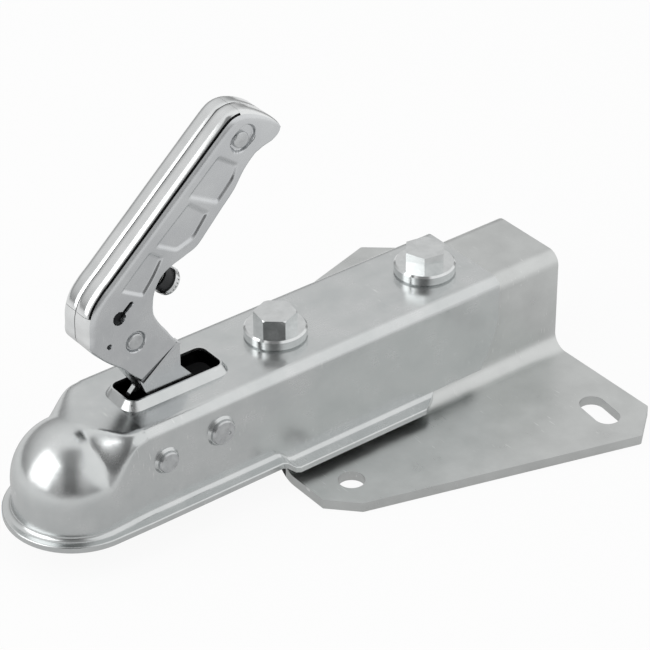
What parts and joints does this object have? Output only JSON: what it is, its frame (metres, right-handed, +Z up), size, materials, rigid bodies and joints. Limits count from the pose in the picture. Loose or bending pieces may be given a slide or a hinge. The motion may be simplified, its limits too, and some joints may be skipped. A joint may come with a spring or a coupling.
{
  "type": "trailer coupling head",
  "caption": "Pressed steel ball coupling head for a light trailer, with a raised release handle and a winged bracket that bolts to the drawbar.",
  "frame": {"origin": "centre of the ball seat", "axes": "+X back along the channel towards the trailer, +Z up, away from the tow ball's neck"},
  "size_m": [0.3036, 0.2156, 0.1941],
  "materials": {
    "pressed_zinc": "zinc-plated pressed sheet steel, satin",
    "bracket_zinc": "zinc-plated folded sheet steel, slightly mottled",
    "handle_zinc": "zinc-plated pressed handle, semi-bright",
    "cover_zinc": "zinc-plated grip cover, bright",
    "fastener_zinc": "zinc-plated fastener steel",
    "rivet_steel": "zinc-plated cold-headed rivet steel",
    "inner_steel": "plain steel, oiled",
    "spring_steel": "zinc-plated spring wire",
    "black_plastic": "black acetal"
  },
  "bodies": {
    "housing": {"coupling_body": "pressed_zinc", "mounting_bracket": "bracket_zinc", "front_bolt": "fastener_zinc", "rear_bolt": "fastener_zinc", "front_washer": "fastener_zinc", "rear_washer": "fastener_zinc", "nut_washers": "fastener_zinc", "front_nut": "fastener_zinc", "rear_nut": "fastener_zinc", "jaw_pin": "rivet_steel", "handle_pin": "rivet_steel", "jaw_sleeves": "inner_steel", "handle_sleeves": "inner_steel", "main_spring": "spring_steel"},
    "handle": {"handle_shell": "handle_zinc", "lever_hub": "inner_steel", "cam_pin": "inner_steel", "grip_cover_left": "cover_zinc", "grip_cover_right": "cover_zinc", "lower_rivet": "rivet_steel", "upper_rivet": "rivet_steel", "lower_sleeve": "inner_steel", "upper_sleeve": "inner_steel", "button_guide": "black_plastic", "button_spring": "spring_steel"},
    "jaw": {"ball_jaw": "inner_steel"},
    "button": {"safety_button": "black_plastic", "button_cap": "cover_zinc"},
    "pawl": {"lock_pawl": "pressed_zinc"}
  },
  "joints": [
    {"name": "handle_hinge", "type": "hinge", "parent": "housing", "child": "handle", "pos_m": [0.0615, 0, 0.0141], "axis": [0, 1, 0], "range_deg": [-8, 42]},
    {"name": "jaw_hinge", "type": "hinge", "parent": "housing", "child": "jaw", "pos_m": [0.0313, 0, 0.0111], "axis": [0, 1, 0], "range_deg": [-2.9, 14.8]},
    {"name": "button_slide", "type": "slide", "parent": "handle", "child": "button", "axis": [-0.7431, 0, 0.6691], "range_m": [0, 0.004], "stiffness_N_per_m": 600, "springref_m": -0.002, "deforming": ["button_spring"]},
    {"name": "pawl_hinge", "type": "hinge", "parent": "handle", "child": "pawl", "pos_m": [0.0302, 0, 0.0657], "axis": [0, 1, 0], "range_deg": [-7.8, 0.1]}
  ],
  "couplings": [
    {"joint": "jaw_hinge", "follows": "handle_hinge", "ratio": 0.35},
    {"joint": "pawl_hinge", "follows": "button_slide", "rad_per_m": -33.8}
  ]
}
